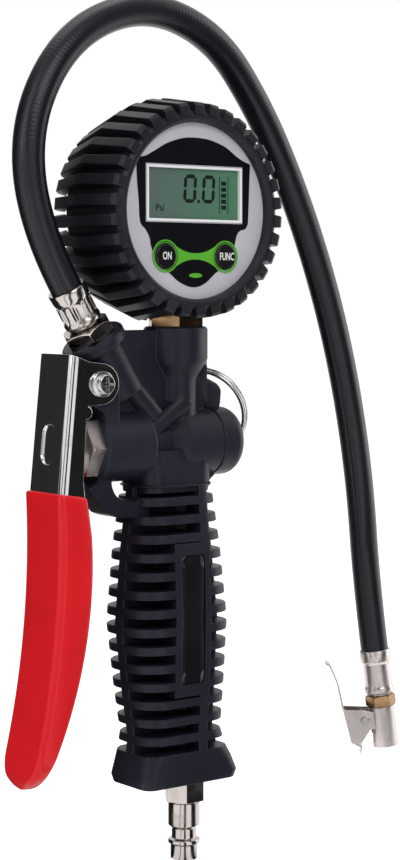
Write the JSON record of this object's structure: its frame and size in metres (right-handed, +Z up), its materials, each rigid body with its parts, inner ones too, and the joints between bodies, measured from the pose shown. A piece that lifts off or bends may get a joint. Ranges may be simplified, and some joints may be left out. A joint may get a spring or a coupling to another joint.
{
  "type": "tyre inflator with gauge",
  "caption": "Pistol-grip tyre inflator: squeeze lever, round digital gauge in a ribbed rubber boot, air plug in the foot, and a hose with a clip-on tyre valve chuck.",
  "frame": {"origin": "centre of the air plug's tip, where the coupling's air enters", "axes": "+Z up along the air plug and grip, -X towards the lever, -Y towards the dial's reader, +X towards the valve's end cap"},
  "size_m": [0.2036, 0.0567, 0.3222],
  "materials": {
    "body": "charcoal glass-filled plastic, satin",
    "label": "bare glossy black plate",
    "nickel": "bright nickel plating",
    "chrome": "mirror chrome plating",
    "sleeve": "dipped soft vinyl, glossy red",
    "steel": "zinc plated",
    "brass": "machined brass",
    "seal": "black nitrile rubber",
    "cap": "charcoal plastic, satin",
    "case": "black plastic",
    "boot": "black moulded rubber, fine grain",
    "hose": "black rubber with a fine wrapped texture",
    "dial": "printed face: pale grey ring and black shield",
    "lcd_frame": "white plastic frame",
    "lcd": "grey-green liquid crystal display",
    "board": "green circuit board",
    "button": "black rubber button, glossy"
  },
  "bodies": {
    "gun": {"gun_body": "body", "air_plug": "nickel", "plug_washer": "seal", "label_plate": "label", "valve_nut": "nickel", "valve_seat": "brass", "valve_spring": "steel", "end_cap": "cap", "cap_oring": "seal", "gauge_stem": "brass", "gauge_case": "case", "battery_cover": "case", "battery": "steel", "gauge_boot": "boot", "dial_plate": "dial", "lcd_frame": "lcd_frame", "lcd_panel": "lcd", "circuit_board": "board", "pressure_sensor": "brass", "hose_nut": "nickel", "hose_ferrule": "nickel", "pivot_screw": "steel", "pivot_nut": "steel", "pivot_bush": "brass", "hose": "hose", "chuck_ferrule": "nickel", "chuck_body": "brass", "chuck_housing": "nickel", "chuck_seal": "seal", "depressor": "brass", "chuck_rivet": "steel", "chuck_spring": "steel"},
    "squeeze_lever": {"lever": "chrome", "lever_sleeve": "sleeve"},
    "stem": {"valve_stem": "steel", "valve_disc": "seal"},
    "on_button": {"button_on": "button"},
    "func_button": {"button_func": "button"},
    "ring": {"split_ring": "steel"},
    "clip": {"chuck_lever": "steel"}
  },
  "joints": [
    {"name": "lever_pivot", "type": "hinge", "parent": "gun", "child": "squeeze_lever", "pos_m": [-0.0448, 0, 0.1812], "axis": [0, -1, 0], "range_deg": [0, 7], "stiffness_Nm_per_rad": 1.5, "springref_deg": -6.88},
    {"name": "valve_slide", "type": "slide", "parent": "gun", "child": "stem", "axis": [1, 0, 0], "range_m": [0, 0.003], "stiffness_N_per_m": 1500, "springref_m": -0.003, "deforming": ["valve_spring"]},
    {"name": "on_press", "type": "slide", "parent": "gun", "child": "on_button", "axis": [0, 1, 0], "range_m": [0, 0.0006], "stiffness_N_per_m": 1500, "springref_m": -0.0003},
    {"name": "func_press", "type": "slide", "parent": "gun", "child": "func_button", "axis": [0, 1, 0], "range_m": [0, 0.0006], "stiffness_N_per_m": 1500, "springref_m": -0.0003},
    {"name": "ring_swing", "type": "hinge", "parent": "gun", "child": "ring", "pos_m": [0.0187, 0.01412, 0.1848], "axis": [0.7923, -0.6101, 0], "range_deg": [0, 60]},
    {"name": "clip_press", "type": "hinge", "parent": "gun", "child": "clip", "pos_m": [0.11677, 0.02757, 0.03357], "axis": [0.6101, 0.7923, 0], "range_deg": [0, 20], "stiffness_Nm_per_rad": 0.05, "springref_deg": -20.05}
  ],
  "couplings": [
    {"joint": "valve_slide", "follows": "lever_pivot", "m_per_rad": 0.0232}
  ]
}
